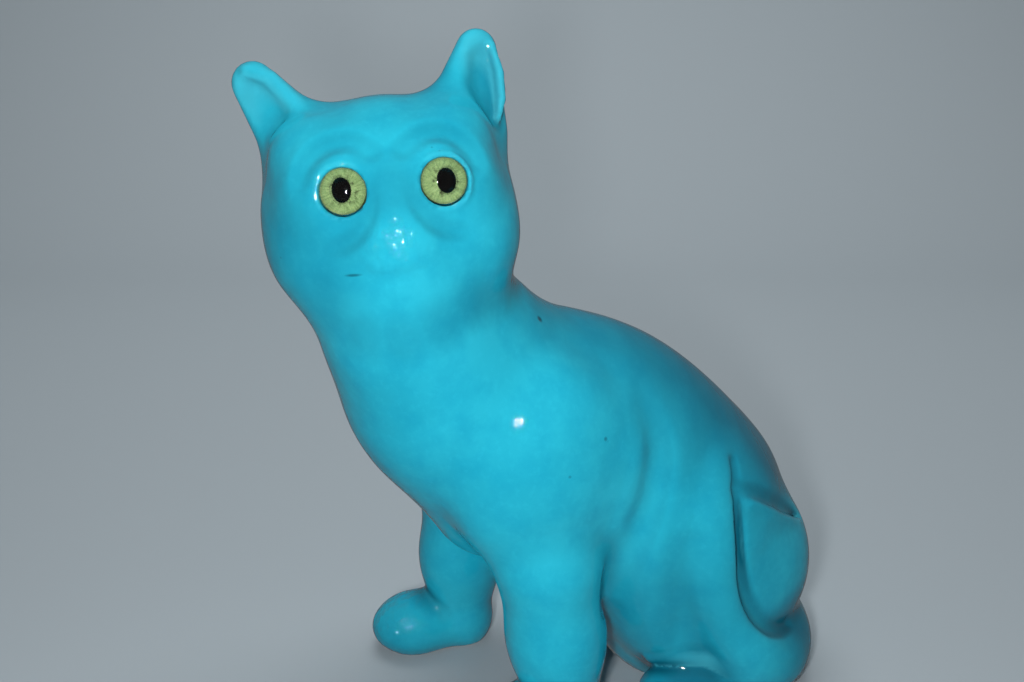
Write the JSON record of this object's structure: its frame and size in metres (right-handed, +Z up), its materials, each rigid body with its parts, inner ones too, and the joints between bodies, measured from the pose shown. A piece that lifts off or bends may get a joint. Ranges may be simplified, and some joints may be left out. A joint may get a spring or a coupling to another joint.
{
  "type": "cat figurine",
  "caption": "Seated hollow-cast cat in turquoise glaze with inset glass eyes, head turned over its left shoulder and tail laid up its flank; stands on a flat underside as an ornament.",
  "frame": {"origin": "middle of the outline, on the plane the figure stands on", "axes": "+Z up, the body faces -Y, the cat's left side is +X and the head looks toward +X"},
  "size_m": [0.1094, 0.2122, 0.2543],
  "materials": {
    "turquoise_glaze": "glossy glaze, deeper in the hollows",
    "eye_glass": "polished glass over a painted iris and pupil"
  },
  "bodies": {
    "root": {"cat_body": "turquoise_glaze", "glass_eye_left": "eye_glass", "glass_eye_right": "eye_glass"}
  },
  "joints": []
}
